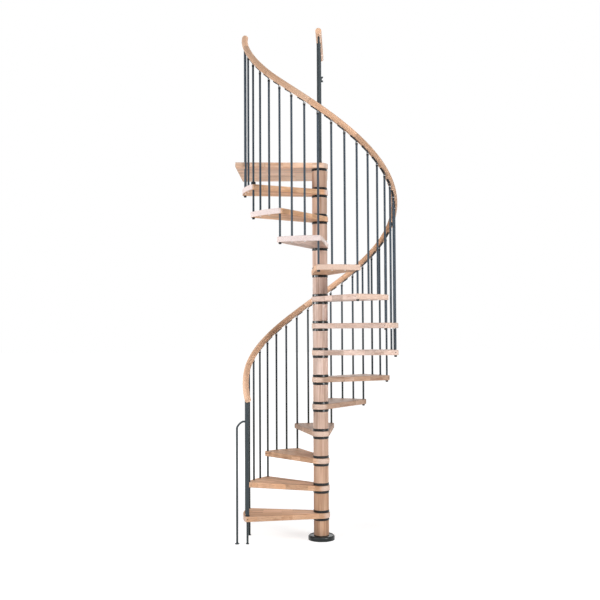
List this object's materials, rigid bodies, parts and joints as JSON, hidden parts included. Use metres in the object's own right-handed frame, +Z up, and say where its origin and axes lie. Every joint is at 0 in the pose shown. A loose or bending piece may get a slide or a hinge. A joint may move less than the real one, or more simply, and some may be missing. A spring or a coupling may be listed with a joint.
{
  "type": "spiral staircase",
  "caption": "Spiral staircase with wedge wooden treads stacked on a round column, upright steel bars and a round wooden handrail winding up to a landing.",
  "frame": {"origin": "centre of the base plate's underside, on the floor and on the column's axis", "axes": "+Z up along the column; +Y towards the upper floor behind the landing; +X to the right for a viewer facing the landing's back edge from the front"},
  "size_m": [1.2713, 1.2534, 4.0089],
  "materials": {
    "tread_wood": "satin lacquer",
    "column_wood": "satin lacquer",
    "rail_wood": "satin lacquer",
    "black_ring": "gloss",
    "base_metal": "satin paint",
    "grey_steel": "satin paint",
    "pole_steel": "mill finish"
  },
  "bodies": {
    "root": {"bar_nuts": "grey_steel", "base_plate": "base_metal", "centre_pole": "pole_steel", "column_rings": "black_ring", "column_spacers": "column_wood", "guard_bars": "grey_steel", "guard_clip": "grey_steel", "guard_post": "grey_steel", "guard_rail": "rail_wood", "handrail_01": "rail_wood", "handrail_02": "rail_wood", "handrail_03": "rail_wood", "handrail_04": "rail_wood", "handrail_05": "rail_wood", "handrail_06": "rail_wood", "handrail_07": "rail_wood", "handrail_08": "rail_wood", "handrail_09": "rail_wood", "handrail_10": "rail_wood", "handrail_11": "rail_wood", "handrail_12": "rail_wood", "landing": "tread_wood", "leg_feet": "grey_steel", "long_bars": "grey_steel", "newel_post": "grey_steel", "rail_brackets": "grey_steel", "short_bars": "grey_steel", "starter_brace": "grey_steel", "tread_01": "tread_wood", "tread_02": "tread_wood", "tread_03": "tread_wood", "tread_04": "tread_wood", "tread_05": "tread_wood", "tread_06": "tread_wood", "tread_07": "tread_wood", "tread_08": "tread_wood", "tread_09": "tread_wood", "tread_10": "tread_wood", "tread_11": "tread_wood", "tread_12": "tread_wood", "tread_13": "tread_wood"}
  },
  "joints": []
}
